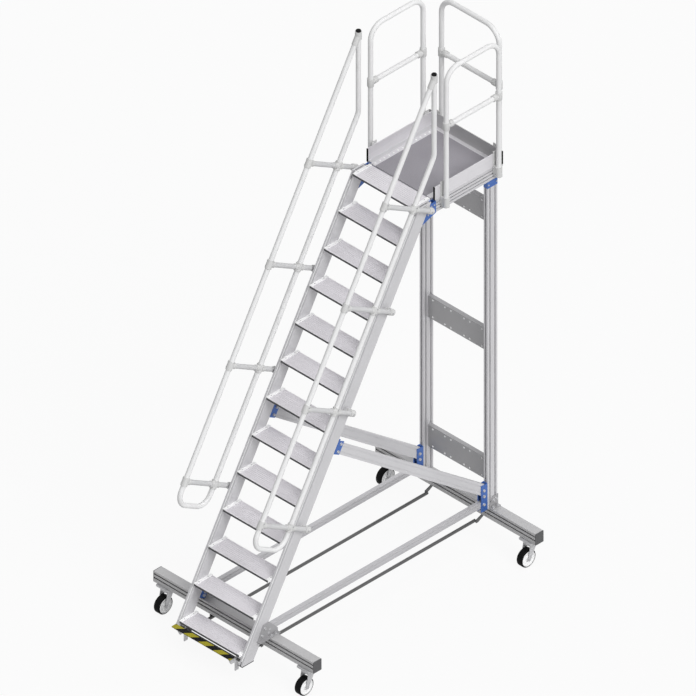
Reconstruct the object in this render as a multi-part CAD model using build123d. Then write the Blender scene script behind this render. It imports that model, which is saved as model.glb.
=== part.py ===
from build123d import *
import math
import os

os.makedirs("parts", exist_ok=True)

# Flight of steps
STEP_COUNT = 13
RISE = 250
PITCH = math.radians(60)
STEP_WIDTH = 600
STEP_DEPTH = 170
STEP_HEIGHT = 18
STEP_WALL = 5
NOSE_R = 5
NOSE_SLOT_W = 6
NOSE_SLOT_SINK = 2.5
TREAD_GROOVES = 9
TREAD_GROOVE_W = 5
TREAD_GROOVE_SINK = 1.5
END_CAP_WALL = 4
END_CAP_FLANGE = 20
NOSE_AHEAD = 241

# Stringers
STRINGER_W = 40
STRINGER_D = 100
STRINGER_SETBACK = 27
STRINGER_FOOT_Z = 176
FOOT_PAD = 8

# Extruded sections
SECTION_R = 4
SECTION_WALL = 13
SLOT_MOUTH = 9
SLOT_ROOM = 18
SLOT_LIP = 4
SLOT_SINK = 10

# Base beams
BEAM_LENGTH = 1600
BEAM_W = 80
BEAM_H = 95
BEAM_TOP = 315
BEAM_SPACING = 2217
BEAM_WALL = 19
BEAM_SLOT_MOUTH = 13
BEAM_SLOT_ROOM = 22
BEAM_SLOT_LIP = 5
BEAM_SLOT_SINK = 15
BEAM_SLOT_PITCH = 32
BEAM_SLOT_LIFT = 7
BEAM_CAP = 5

# Rear posts and the members that tie them to the flight
POST_W = 40
POST_D = 100
POST_HEAD = 57
CROSS_PLATE_H = 186
CROSS_PLATE_FLANGE = 30
CROSS_PLATE_WALL = 4
CROSS_PLATE_LOW_Z = 521
CROSS_PLATE_PITCH = 1116
CROSS_PLATE_COUNT = 3
TIE_W = 30
TIE_GROOVE_W = 7
TIE_GROOVE_SINK = 3
BRACE_H = 85
BRACE_TOP_Z = 1600
BRACE_FOOT_Z = 474
RAIL_H = 50
RAIL_Z = 375
SHOE_BASE = 8
SHOE_REACH = 62
SHOE_HEIGHT = 226
SHOE_OVER = 10

# Angle brackets on the base beams
GUSSET_WALL = 7
GUSSET_FLANGE = 34
GUSSET_RISE = 122
GUSSET_AHEAD = 107
POST_GUSSET_RISE = 92
POST_GUSSET_LENGTH = 84

# Platform
SIDE_BEAM_H = 110
PLATFORM_REAR_AHEAD = 31
TOP_STEP_GAP = 12
SIDE_BEAM_SETBACK = 10
CROSS_MEMBER_W = 40
CROSS_MEMBER_H = 80
DECK_WALL = 5
DECK_TRIM_W = 44
DECK_RIB_W = 40
DECK_RIB_H = 30
DECK_RIB_COUNT = 4
TOE_BOARD_H = 110
TOE_BOARD_W = 6
TOE_REAR_OVER = 20
TOE_CAP_W = 14
TOE_CAP = 5
JOINT_EAR = 6
JOINT_TOP = 15
JOINT_DROP = 45

# Tubes of the handrails and guards
TUBE_R = 19
STANDOFF = 38
SLEEVE_R = 25
STUB_R = 23
SLEEVE_L = 64
STUB_L = 46
SOCKET = 16
BEND_R = 100
HANDRAIL_OUT = 430
KNEE_RAIL_OUT = 95
LOOP_FOOT_S = 840
TOP_POST_AHEAD = 47
STRUT_LOW_RISE = 178
STRUT_TOP_S = 3486
STRUT_PITCH = 784
STRUT_END_N = 118
STRUT_FOOT_L = 46
STRUT_FOOT_W = 40
TOP_STUB_L = 78
TUBE_CAP = 10
GUARD_HEIGHT = 1100
GUARD_KNEE = 625
GUARD_BEND_SHARE = 0.225
GUARD_FRONT_INSET = 74
GUARD_REAR_INSET = 56
GUARD_SIDE_INSET = 52
GUARD_DROP = 72
CLAMP_H = 84
CLAMP_W = 44
CLAMP_SINK = 30
CLAMP_PLATE = 6
CLAMP_PLATE_W = 48
CLAMP_PLATE_RISE = 164

# Foot brake linkage
PEDAL_END_GAP = 8
PEDAL_DEPTH = 44
PEDAL_GAP = 40
PEDAL_WALL = 4
PEDAL_LIP = 8
SHAFT_R = 10
SHAFT_Y = -222
SHAFT_Z = 190
LEVER_INSET = 50
LEVER_WALL = 8
LEVER_W = 34
LEVER_TIP_Z = 96
LEVER_LUG = 45
ROD_R = 12
ROD_Z = 181
ROD_REAR_GAP = 43
HANGER_W = 40
HANGER_LEAN = 70

# Swivel casters
WHEEL_R = 72
WHEEL_W = 54
TYRE_THICK = 11
RIM_WALL = 6
WEB_WALL = 8
HUB_R = 20
HUB_W = 58
AXLE_R = 6
AXLE_HEAD_R = 10
AXLE_HEAD = 6
CASTER_INSET = 97
CASTER_TRAIL = 38
CASTER_PLATE_X = 120
CASTER_PLATE_Y = 110
CASTER_PLATE = 12
KINGPIN_R = 10
KINGPIN_NUT_R = 16
KINGPIN_NUT = 6
HEAD_R = 34
HEAD_H = 22
CROWN = 12
FORK_GAP = 5
FORK_WALL = 5
FORK_TOP_W = 62
FORK_BOSS_R = 15
RUNNING_FIT = 0.06
FACE_FIT = 0.4

# Places worked out from the sizes above
RUN = RISE / math.tan(PITCH)
DECK_Z = STEP_COUNT * RISE
BEAM_BOTTOM = BEAM_TOP - BEAM_H
INNER_X = STEP_WIDTH / 2
OUTER_X = INNER_X + STRINGER_W
STRINGER_X = INNER_X + STRINGER_W / 2
STRINGER_FRONT_N = STRINGER_SETBACK
STRINGER_REAR_N = STRINGER_SETBACK + STRINGER_D
RAIL_X = OUTER_X + STANDOFF
REAR_FACE_Y = BEAM_SPACING + BEAM_W
POST_FRONT_Y = REAR_FACE_Y - POST_D
PLATFORM_REAR_Y = REAR_FACE_Y + PLATFORM_REAR_AHEAD
SIDE_BEAM_BOTTOM = DECK_Z - SIDE_BEAM_H
POST_TOP = SIDE_BEAM_BOTTOM - POST_HEAD
TOP_NOSE_Y = -NOSE_AHEAD + (STEP_COUNT - 1) * RUN
PLATFORM_FRONT_Y = TOP_NOSE_Y + STEP_DEPTH + TOP_STEP_GAP
DECK_REAR_Y = PLATFORM_REAR_Y - CROSS_MEMBER_W
SIDE_BEAM_FRONT_Y = PLATFORM_FRONT_Y + SIDE_BEAM_SETBACK
TOP_POST_Y = PLATFORM_FRONT_Y - TOP_POST_AHEAD
STRUT_STATIONS = (
    LOOP_FOOT_S + STRUT_LOW_RISE,
    STRUT_TOP_S - 2 * STRUT_PITCH,
    STRUT_TOP_S - STRUT_PITCH,
    STRUT_TOP_S,
)
HAND_N = -HANDRAIL_OUT
KNEE_N = -KNEE_RAIL_OUT
GUARD_TOP = DECK_Z + GUARD_HEIGHT
GUARD_LEGS_Y = (PLATFORM_FRONT_Y + GUARD_FRONT_INSET, PLATFORM_REAR_Y - GUARD_REAR_INSET)
GUARD_LEGS_X = (GUARD_SIDE_INSET - OUTER_X, OUTER_X - GUARD_SIDE_INSET)
GUARD_REAR_Y = PLATFORM_REAR_Y + STANDOFF
PEDAL_REAR_Y = -NOSE_AHEAD - PEDAL_GAP
PEDAL_FRONT_Y = PEDAL_REAR_Y - PEDAL_DEPTH
PEDAL_END_X = INNER_X - PEDAL_END_GAP
LEVER_X = INNER_X - LEVER_INSET
CASTER_X = BEAM_LENGTH / 2 - CASTER_INSET
CENTRE_Y = (GUARD_REAR_Y + SLEEVE_R + PEDAL_FRONT_Y) / 2
SIDES = (-1, 1)
SLOT = (SLOT_MOUTH, SLOT_ROOM, SLOT_LIP, SLOT_SINK)
BEAM_SLOT = (BEAM_SLOT_MOUTH, BEAM_SLOT_ROOM, BEAM_SLOT_LIP, BEAM_SLOT_SINK)

# Local X runs across the flight, Y square to it and Z up along the nosings
FLIGHT = Plane(
    origin=(0, -NOSE_AHEAD, RISE),
    x_dir=(1, 0, 0),
    z_dir=(0, math.cos(PITCH), math.sin(PITCH)),
)


def save(node, *pieces):
    """Write the pieces of one node, with the origin on the floor below the middle."""
    solids = [solid for piece in pieces for solid in (Pos(0, -CENTRE_Y, 0) * piece).solids()]
    export_step(solids[0] if len(solids) == 1 else Compound(solids), f"parts/{node}.step")


def block(x0, x1, y0, y1, z0, z1):
    """Plain bar between two corners."""
    return Pos((x0 + x1) / 2, (y0 + y1) / 2, (z0 + z1) / 2) * Box(x1 - x0, y1 - y0, z1 - z0)


def side_plate(points, x0, x1):
    """Plate with an outline in Y and Z, from x0 to x1."""
    side = Plane(origin=(x0, 0, 0), x_dir=(0, 1, 0), z_dir=(1, 0, 0))
    outline = make_face(Polyline(*points, close=True))
    return extrude(side * outline, x1 - x0)


def flight_y(z, n):
    """Y of the plane n behind the nosings at height z."""
    return -NOSE_AHEAD + (n + (z - RISE) * math.cos(PITCH)) / math.sin(PITCH)


def flight_cut(height, slope, n):
    """Y where a line in the side view meets the plane n behind the nosings."""
    reach = n - NOSE_AHEAD * math.sin(PITCH) + (height - RISE) * math.cos(PITCH)
    return reach / (math.sin(PITCH) - slope * math.cos(PITCH))


def section(width, depth, side_slots=(), end_slots=(), wall=SECTION_WALL, slot=SLOT):
    """Hollow extrusion outline with undercut slots in its sides and ends."""
    mouth, room, lip, sink = slot
    cut = Rectangle(2 * sink, mouth) + Pos(-(lip + sink) / 2, 0) * Rectangle(sink - lip, room)
    outline = RectangleRounded(width, depth, SECTION_R)
    outline -= Rectangle(width - 2 * wall, depth - 2 * wall)
    for side in SIDES:
        turn = 90 - side * 90
        for offset in side_slots:
            outline -= Pos(side * width / 2, offset) * Rot(Z=turn) * cut
        for offset in end_slots:
            outline -= Pos(offset, side * depth / 2) * Rot(Z=turn + 90) * cut
    return outline


def base_beam(front_y):
    """Slotted beam across the base, open at both ends."""
    plane = Plane(
        origin=(-BEAM_LENGTH / 2 + BEAM_CAP, front_y + BEAM_W / 2, BEAM_TOP - BEAM_H / 2),
        x_dir=(0, 1, 0),
        z_dir=(1, 0, 0),
    )
    slots = (BEAM_SLOT_LIFT - BEAM_SLOT_PITCH / 2, BEAM_SLOT_LIFT + BEAM_SLOT_PITCH / 2)
    outline = section(BEAM_W, BEAM_H, side_slots=slots, wall=BEAM_WALL, slot=BEAM_SLOT)
    return extrude(plane * outline, BEAM_LENGTH - 2 * BEAM_CAP)


def beam_cap(front_y, side):
    """Flat cap that closes one end of a base beam."""
    plane = Plane(
        origin=(side * (BEAM_LENGTH / 2 - BEAM_CAP), front_y + BEAM_W / 2, BEAM_TOP - BEAM_H / 2),
        x_dir=(0, 1, 0),
        z_dir=(1, 0, 0),
    )
    return extrude(plane * RectangleRounded(BEAM_W, BEAM_H, SECTION_R), side * BEAM_CAP)


def stringer(side):
    """Inclined side member, cut level at the foot and at the deck."""
    outline = section(STRINGER_W, STRINGER_D, end_slots=(0,))
    middle_n = STRINGER_SETBACK + STRINGER_D / 2
    reach = (DECK_Z / math.sin(PITCH)) * 2
    bar = extrude(FLIGHT * Pos(side * STRINGER_X, middle_n) * outline, reach, both=True)
    return bar & block(-OUTER_X, OUTER_X, -reach, reach, STRINGER_FOOT_Z, DECK_Z)


def stringer_foot(side):
    """Pad under the level foot of a stringer."""
    front = flight_y(STRINGER_FOOT_Z, STRINGER_FRONT_N)
    rear = flight_y(STRINGER_FOOT_Z, STRINGER_REAR_N)
    x0 = side * STRINGER_X - STRINGER_W / 2
    return block(x0, x0 + STRINGER_W, front, rear, STRINGER_FOOT_Z - FOOT_PAD, STRINGER_FOOT_Z)


def step_section():
    """Channel outline of a tread, with its nosing at the origin."""
    outer = Pos(STEP_DEPTH / 2, -STEP_HEIGHT / 2) * Rectangle(STEP_DEPTH, STEP_HEIGHT)
    outer = fillet(outer.vertices().group_by(Axis.Y)[-1], NOSE_R)
    inner = Pos(STEP_DEPTH / 2, -STEP_HEIGHT / 2 - STEP_WALL)
    outer -= inner * Rectangle(STEP_DEPTH - 2 * STEP_WALL, STEP_HEIGHT)
    outer -= Pos(0, -STEP_HEIGHT / 2) * Rectangle(2 * NOSE_SLOT_SINK, NOSE_SLOT_W)
    pitch = STEP_DEPTH / (TREAD_GROOVES + 1)
    for row in range(TREAD_GROOVES):
        outer -= Pos((row + 1) * pitch, 0) * Rectangle(TREAD_GROOVE_W, 2 * TREAD_GROOVE_SINK)
    return outer


def step():
    """Tread of the first step, between its end caps."""
    length = STEP_WIDTH - 2 * END_CAP_WALL
    plane = Plane(origin=(-length / 2, -NOSE_AHEAD, RISE), x_dir=(0, 1, 0), z_dir=(1, 0, 0))
    return extrude(plane * step_section(), length)


def step_end_cap(side):
    """Angle that holds one end of the first step to the stringer."""
    inner = side * (INNER_X - END_CAP_WALL)
    wall = block(*sorted((inner, side * INNER_X)), 0, STEP_DEPTH, -STEP_HEIGHT, END_CAP_WALL)
    flange = block(*sorted((inner, inner - side * END_CAP_FLANGE)), 0, STEP_DEPTH, 0, END_CAP_WALL)
    return Pos(0, -NOSE_AHEAD, RISE) * (wall + flange)


def up_the_flight(piece):
    """Copies of a piece of the first step on every step."""
    return [Pos(0, row * RUN, row * RISE) * piece for row in range(STEP_COUNT)]


def post(side):
    """Slotted rear post that stands on the rear beam."""
    outline = section(POST_W, POST_D, side_slots=(-POST_D / 4, POST_D / 4), end_slots=(0,))
    foot = Pos(side * (OUTER_X - POST_W / 2), POST_FRONT_Y + POST_D / 2, BEAM_TOP)
    return extrude(foot * outline, POST_TOP - BEAM_TOP)


def post_head(side):
    """Bracket between the top of a post and the side beam."""
    x0 = side * (OUTER_X - POST_W / 2) - POST_W / 2
    head = block(x0, x0 + POST_W, POST_FRONT_Y, REAR_FACE_Y, POST_TOP, SIDE_BEAM_BOTTOM)
    pocket_x = x0 + POST_W / 2 - side * JOINT_EAR
    pocket = Pos(pocket_x, POST_FRONT_Y + POST_D / 2, POST_TOP + POST_HEAD / 2)
    return head - pocket * Box(POST_W, POST_D - POST_W, POST_HEAD - 2 * SHOE_BASE)


def cross_plate(low_z):
    """Flanged plate between the rear posts."""
    middle_y = POST_FRONT_Y + POST_D / 2
    half = OUTER_X - POST_W
    high_z = low_z + CROSS_PLATE_H
    plate = block(-half, half, middle_y - CROSS_PLATE_WALL, middle_y + CROSS_PLATE_FLANGE, low_z, high_z)
    inside = (low_z + CROSS_PLATE_WALL, high_z - CROSS_PLATE_WALL)
    return plate - block(-half, half, middle_y, middle_y + CROSS_PLATE_FLANGE, *inside)


def tie_outline(top_z, foot_z, low, high, extra=0):
    """Side outline of a band of a tie between two offsets from its middle line."""
    head_n = STRINGER_REAR_N + SHOE_BASE
    foot_y = POST_FRONT_Y - SHOE_BASE
    slope = (foot_z - top_z) / (foot_y - flight_y(top_z, head_n))
    points = []
    for offset in (low, high):
        level = foot_z + offset * math.hypot(1, slope) - slope * foot_y
        ends = (flight_cut(level, slope, head_n - extra), foot_y + extra)
        points.append([(y, level + slope * y) for y in ends])
    return (*points[0], *reversed(points[1]))


def tie(side, top_z, foot_z, height):
    """Grooved member from the flight's shoe to the post's shoe, cut to fit both."""
    x0 = side * STRINGER_X - TIE_W / 2
    bar = side_plate(tie_outline(top_z, foot_z, -height / 2, height / 2), x0, x0 + TIE_W)
    for middle in (-height / 4, height / 4):
        band = (middle - TIE_GROOVE_W / 2, middle + TIE_GROOVE_W / 2)
        groove = tie_outline(top_z, foot_z, *band, extra=SHOE_BASE)
        for x in (x0, x0 + TIE_W):
            bar -= side_plate(groove, x - TIE_GROOVE_SINK, x + TIE_GROOVE_SINK)
    return bar


def post_shoe(side):
    """Forked bracket on the front of a post for the brace and the base rail."""
    x0 = side * STRINGER_X - STRINGER_W / 2
    fork = block(
        x0, x0 + STRINGER_W, POST_FRONT_Y - SHOE_REACH, POST_FRONT_Y, BEAM_TOP, BEAM_TOP + SHOE_HEIGHT
    )
    gap = side * STRINGER_X
    slot_y = POST_FRONT_Y - SHOE_BASE
    return fork - block(
        gap - TIE_W / 2, gap + TIE_W / 2, slot_y - SHOE_REACH, slot_y, BEAM_TOP, BEAM_TOP + SHOE_HEIGHT
    )


def flight_shoe(side, z, length):
    """Forked bracket on the back of a stringer, centred at height z."""
    station = (z - RISE + (STRINGER_REAR_N + SHOE_BASE) * math.cos(PITCH)) / math.sin(PITCH)
    fork = Pos(0, SHOE_REACH / 2, 0) * Box(STRINGER_W, SHOE_REACH, length)
    fork -= Pos(0, SHOE_BASE + SHOE_REACH / 2, 0) * Box(TIE_W, SHOE_REACH, length)
    return FLIGHT.location * Pos(side * STRINGER_X, STRINGER_REAR_N, station) * fork


def beam_gusset(side):
    """Angle bracket that carries a stringer on the front beam."""
    top = BEAM_TOP + GUSSET_RISE
    knee = BEAM_TOP + GUSSET_FLANGE
    rear = BEAM_W + GUSSET_FLANGE / 2
    web = side_plate(
        (
            (-GUSSET_AHEAD, BEAM_TOP),
            (flight_y(top, STRINGER_FRONT_N + STRINGER_D / 2), top),
            (flight_y(top, STRINGER_REAR_N), top),
            (rear, knee),
            (rear, BEAM_TOP),
        ),
        *sorted((side * OUTER_X, side * (OUTER_X + GUSSET_WALL))),
    )
    across = sorted((side * OUTER_X, side * (OUTER_X + GUSSET_FLANGE)))
    return web + block(*across, -GUSSET_AHEAD, rear, BEAM_TOP, BEAM_TOP + GUSSET_WALL)


def post_gusset(side):
    """Angle bracket that ties a post to the rear beam."""
    front = REAR_FACE_Y - POST_GUSSET_LENGTH
    top = BEAM_TOP + POST_GUSSET_RISE
    web = side_plate(
        (
            (front, BEAM_TOP),
            (front, BEAM_TOP + GUSSET_FLANGE),
            (front + GUSSET_FLANGE, top),
            (REAR_FACE_Y, top),
            (REAR_FACE_Y, BEAM_TOP),
        ),
        *sorted((side * OUTER_X, side * (OUTER_X + GUSSET_WALL))),
    )
    across = sorted((side * OUTER_X, side * (OUTER_X + GUSSET_FLANGE)))
    return web + block(*across, front, REAR_FACE_Y, BEAM_TOP, BEAM_TOP + GUSSET_WALL)


def side_beam(side):
    """Slotted side member of the platform."""
    plane = Plane(
        origin=(side * STRINGER_X, PLATFORM_REAR_Y, DECK_Z - SIDE_BEAM_H / 2),
        x_dir=(1, 0, 0),
        z_dir=(0, -1, 0),
    )
    outline = section(STRINGER_W, SIDE_BEAM_H, side_slots=(-SIDE_BEAM_H / 4, 0, SIDE_BEAM_H / 4))
    return extrude(plane * outline, PLATFORM_REAR_Y - SIDE_BEAM_FRONT_Y)


def joint_bracket(side):
    """Bracket that fills the wedge between a stringer and a side beam."""
    high = DECK_Z - JOINT_TOP
    low = SIDE_BEAM_BOTTOM - JOINT_DROP
    x0 = side * STRINGER_X - STRINGER_W / 2
    wedge = (
        (flight_y(high, STRINGER_REAR_N), high),
        (SIDE_BEAM_FRONT_Y, high),
        (SIDE_BEAM_FRONT_Y, SIDE_BEAM_BOTTOM),
        (flight_y(low, STRINGER_REAR_N), low),
    )
    pocket_n = STRINGER_REAR_N + SHOE_BASE
    pocket = (
        (flight_y(DECK_Z, pocket_n), DECK_Z),
        (SIDE_BEAM_FRONT_Y - SHOE_BASE, DECK_Z),
        (SIDE_BEAM_FRONT_Y - SHOE_BASE, low),
        (flight_y(low, pocket_n), low),
    )
    bracket = side_plate(wedge, x0, x0 + STRINGER_W)
    return bracket - side_plate(pocket, x0 + JOINT_EAR, x0 + STRINGER_W - JOINT_EAR)


def cross_member(front_y, top_z):
    """Hollow bar between the platform's side members."""
    plane = Plane(
        origin=(-INNER_X, front_y + CROSS_MEMBER_W / 2, top_z - CROSS_MEMBER_H / 2),
        x_dir=(0, 1, 0),
        z_dir=(1, 0, 0),
    )
    return extrude(plane * section(CROSS_MEMBER_W, CROSS_MEMBER_H), STEP_WIDTH)


def deck_trim(side):
    """Flat strip between the deck and a side beam."""
    across = sorted((side * INNER_X, side * (INNER_X - DECK_TRIM_W)))
    return block(*across, PLATFORM_FRONT_Y, DECK_REAR_Y, DECK_Z - DECK_WALL, DECK_Z)


def deck():
    """Deck plate that runs over the front cross member, on ribs."""
    half = INNER_X - DECK_TRIM_W
    low = DECK_Z - DECK_WALL
    plate = block(-half, half, PLATFORM_FRONT_Y, DECK_REAR_Y, low, DECK_Z)
    pitch = STEP_WIDTH / DECK_RIB_COUNT
    for row in range(DECK_RIB_COUNT):
        x0 = -INNER_X + row * pitch + (pitch - DECK_RIB_W) / 2
        front = PLATFORM_FRONT_Y + CROSS_MEMBER_W
        plate += block(x0, x0 + DECK_RIB_W, front, DECK_REAR_Y, low - DECK_RIB_H, low)
    return plate


def side_toe_board(side):
    """Board that stands on the outer edge of a side beam."""
    across = sorted((side * OUTER_X, side * (OUTER_X - TOE_BOARD_W)))
    rear = PLATFORM_REAR_Y - TOE_BOARD_W
    return block(*across, PLATFORM_FRONT_Y, rear, DECK_Z, DECK_Z + TOE_BOARD_H)


def rear_toe_board():
    """Board across the back of the platform."""
    front = PLATFORM_REAR_Y - TOE_BOARD_W
    half = OUTER_X + TOE_REAR_OVER
    return block(-half, half, front, PLATFORM_REAR_Y, DECK_Z, DECK_Z + TOE_BOARD_H)


def toe_cap_front(side):
    """Cap on the front end of a side toe board."""
    across = sorted((side * OUTER_X, side * (OUTER_X - TOE_CAP_W)))
    return block(*across, PLATFORM_FRONT_Y - TOE_CAP, PLATFORM_FRONT_Y, DECK_Z, DECK_Z + TOE_BOARD_H)


def toe_cap_rear(side):
    """Cap on one end of the rear toe board."""
    end_x = OUTER_X + TOE_REAR_OVER
    across = sorted((side * end_x, side * (end_x + TOE_CAP)))
    front = PLATFORM_REAR_Y - TOE_CAP_W
    return block(*across, front, PLATFORM_REAR_Y, DECK_Z, DECK_Z + TOE_BOARD_H)


def tube(points, bend):
    """Round tube along straight runs with bends of one radius."""
    path = FilletPolyline(*points, radius=bend)
    return sweep(Plane(origin=path @ 0, z_dir=path % 0) * Circle(TUBE_R), path=path.wire())


def flight_point(side, s, n):
    """Point in a handrail's plane, s up the flight and n behind the nosings."""
    return tuple(FLIGHT.from_local_coords((side * RAIL_X, n, s)))


def rail_top(n):
    """Distance up the flight at which a rail n behind the nosings reaches the top post."""
    return (TOP_POST_Y + NOSE_AHEAD - n * math.sin(PITCH)) / math.cos(PITCH)


def top_join_z():
    """Height at which the handrail meets the top post."""
    return RISE + rail_top(HAND_N) * math.sin(PITCH) - HAND_N * math.cos(PITCH)


def handrail(side):
    """Loop of tube: top post, knee rail, foot and handrail."""
    points = (
        (side * RAIL_X, TOP_POST_Y, top_join_z() + SLEEVE_L / 2),
        flight_point(side, rail_top(KNEE_N), KNEE_N),
        flight_point(side, LOOP_FOOT_S, KNEE_N),
        flight_point(side, LOOP_FOOT_S, HAND_N),
        flight_point(side, rail_top(HAND_N) - TOP_STUB_L + SOCKET, HAND_N),
    )
    return tube(points, BEND_R)


def socketed(body, axis, stub):
    """Add a strut socket along an axis to a sleeve body."""
    body += axis * Pos(0, 0, stub / 2) * Cylinder(STUB_R, stub)
    return body, axis * Pos(0, 0, stub - SOCKET / 2) * Cylinder(TUBE_R, SOCKET)


def rail_fitting(side, s, n, ways):
    """Sleeve on a rail with a socket for a strut on each listed side."""
    body = Cylinder(SLEEVE_R, SLEEVE_L)
    bores = [Cylinder(TUBE_R, SLEEVE_L)]
    for way in ways:
        body, bore = socketed(body, Rot(X=-90 * way), STUB_L)
        bores.append(bore)
    for bore in bores:
        body -= bore
    return FLIGHT.location * Pos(side * RAIL_X, n, s) * body


def strut(side, s, n0, n1):
    """Straight tube square to the flight."""
    bar = Rot(X=90) * Cylinder(TUBE_R, n1 - n0)
    return FLIGHT.location * Pos(side * RAIL_X, (n0 + n1) / 2, s) * bar


def strut_foot(side, s):
    """Saddle that holds a strut to the outside of the stringer."""
    body = Rot(X=90) * Cylinder(SLEEVE_R, STRUT_FOOT_L)
    body += Pos(-side * STANDOFF / 2, 0, 0) * Box(STANDOFF, STRUT_FOOT_L, STRUT_FOOT_W)
    body -= Rot(X=90) * Cylinder(TUBE_R, STRUT_FOOT_L)
    return FLIGHT.location * Pos(side * RAIL_X, STRUT_END_N - STRUT_FOOT_L / 2, s) * body


def top_fitting(side):
    """Sleeve on the top post with a socket for the end of the handrail."""
    down_the_flight = Rot(X=90 + math.degrees(PITCH))
    body, bore = socketed(Cylinder(SLEEVE_R, SLEEVE_L), down_the_flight, TOP_STUB_L)
    body -= Cylinder(TUBE_R, SLEEVE_L + 2 * TOP_STUB_L)
    return Pos(side * RAIL_X, TOP_POST_Y, top_join_z()) * (body - bore)


def tube_cap(side):
    """Plug on the open end of the top post."""
    middle_z = top_join_z() + (SLEEVE_L + TUBE_CAP) / 2
    return Pos(side * RAIL_X, TOP_POST_Y, middle_z) * Cylinder(TUBE_R, TUBE_CAP)


def guard(start, end):
    """Hoop between two places on the platform's edge, with its knee rail."""
    foot_z = DECK_Z - GUARD_DROP
    knee_z = DECK_Z + GUARD_KNEE
    points = ((*start, foot_z), (*start, GUARD_TOP), (*end, GUARD_TOP), (*end, foot_z))
    knee = Line((*start, knee_z), (*end, knee_z))
    knee_rail = sweep(Plane(origin=knee @ 0, z_dir=knee % 0) * Circle(TUBE_R), path=knee)
    return tube(points, GUARD_BEND_SHARE * math.dist(start, end)) + knee_rail


def guard_clamp(x, y, turn):
    """Clamp that holds the foot of one leg of a hoop to the platform's edge."""
    body = Cylinder(SLEEVE_R, CLAMP_H) + Pos(-STANDOFF / 2, 0, 0) * Box(STANDOFF, CLAMP_W, CLAMP_H)
    plate = Pos((CLAMP_PLATE - STANDOFF * 2) / 2, 0, (CLAMP_PLATE_RISE - CLAMP_H / 2) / 2)
    body += plate * Box(CLAMP_PLATE, CLAMP_PLATE_W, CLAMP_PLATE_RISE + CLAMP_H / 2)
    body -= Cylinder(TUBE_R, CLAMP_H)
    return Pos(x, y, DECK_Z - CLAMP_SINK) * Rot(Z=turn) * body


def brake_pedal():
    """Foot plate in front of the first step, with a lip along its front."""
    half = PEDAL_END_X
    plate = block(-half, half, PEDAL_FRONT_Y, PEDAL_REAR_Y, RISE - PEDAL_WALL, RISE)
    return plate + block(-half, half, PEDAL_FRONT_Y, PEDAL_FRONT_Y + PEDAL_WALL, RISE - PEDAL_LIP, RISE)


def brake_lever(side):
    """Lever under one end of the pedal, with an eye for the shaft and a lug for the rod."""
    rear = SHAFT_Y + LEVER_W / 2
    front = SHAFT_Y - LEVER_W / 2
    points = (
        (PEDAL_FRONT_Y + 2 * PEDAL_WALL, RISE - PEDAL_WALL),
        (PEDAL_REAR_Y, RISE - PEDAL_WALL),
        (PEDAL_REAR_Y, SHAFT_Z + LEVER_W / 2),
        (rear + LEVER_LUG, SHAFT_Z + LEVER_W / 2),
        (rear + LEVER_LUG, ROD_Z - ROD_R),
        (rear, ROD_Z - ROD_R),
        (rear, LEVER_TIP_Z),
        (front, LEVER_TIP_Z),
        (front, SHAFT_Z - LEVER_W / 2),
        (PEDAL_REAR_Y, SHAFT_Z - LEVER_W / 2),
    )
    lever = side_plate(points, *sorted((side * LEVER_X, side * (LEVER_X + LEVER_WALL))))
    return lever - brake_shaft()


def brake_shaft():
    """Cross shaft that the pedal's levers hang on, between the stringers."""
    return Pos(0, SHAFT_Y, SHAFT_Z) * Rot(Y=90) * Cylinder(SHAFT_R, STEP_WIDTH)


def brake_rod(side):
    """Rod along the base from a lever to the rear beam."""
    front = SHAFT_Y + LEVER_W / 2
    length = BEAM_SPACING - ROD_REAR_GAP - front
    return Pos(side * (LEVER_X - ROD_R), front + length / 2, ROD_Z) * Rot(X=90) * Cylinder(ROD_R, length)


def brake_hanger(side, beam_y, lean):
    """Lug under a base beam that carries a rod."""
    low = ROD_Z - ROD_R
    front = beam_y + (BEAM_W - HANGER_W) / 2
    points = (
        (front, BEAM_BOTTOM),
        (front + HANGER_W, BEAM_BOTTOM),
        (front + HANGER_W / 2 - lean, low),
        (front - lean, low),
        (front - lean, ROD_Z + ROD_R),
    )
    return side_plate(points, *sorted((side * LEVER_X, side * (LEVER_X + LEVER_WALL))))


def caster_places():
    """Name, swivel axis X and swivel axis Y of each caster."""
    places = []
    for end, beam_y in (("front", 0), ("rear", BEAM_SPACING)):
        for name, side in (("left", -1), ("right", 1)):
            places.append((f"{end}_{name}", side * CASTER_X, beam_y + BEAM_W / 2))
    return places


def caster_plate():
    """Top plate with its kingpin and nut, with the swivel axis at the origin."""
    plate_z = BEAM_BOTTOM - CASTER_PLATE
    outline = RectangleRounded(CASTER_PLATE_X, CASTER_PLATE_Y, SECTION_R * 2)
    plate = extrude(Pos(0, 0, plate_z) * outline, CASTER_PLATE)
    crown_z = plate_z - FACE_FIT - HEAD_H - CROWN - FACE_FIT
    pin = extrude(Pos(0, 0, crown_z) * Circle(KINGPIN_R), plate_z - crown_z)
    nut = extrude(Pos(0, 0, crown_z - KINGPIN_NUT) * RegularPolygon(KINGPIN_NUT_R, 6), KINGPIN_NUT)
    return plate + pin + nut


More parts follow.
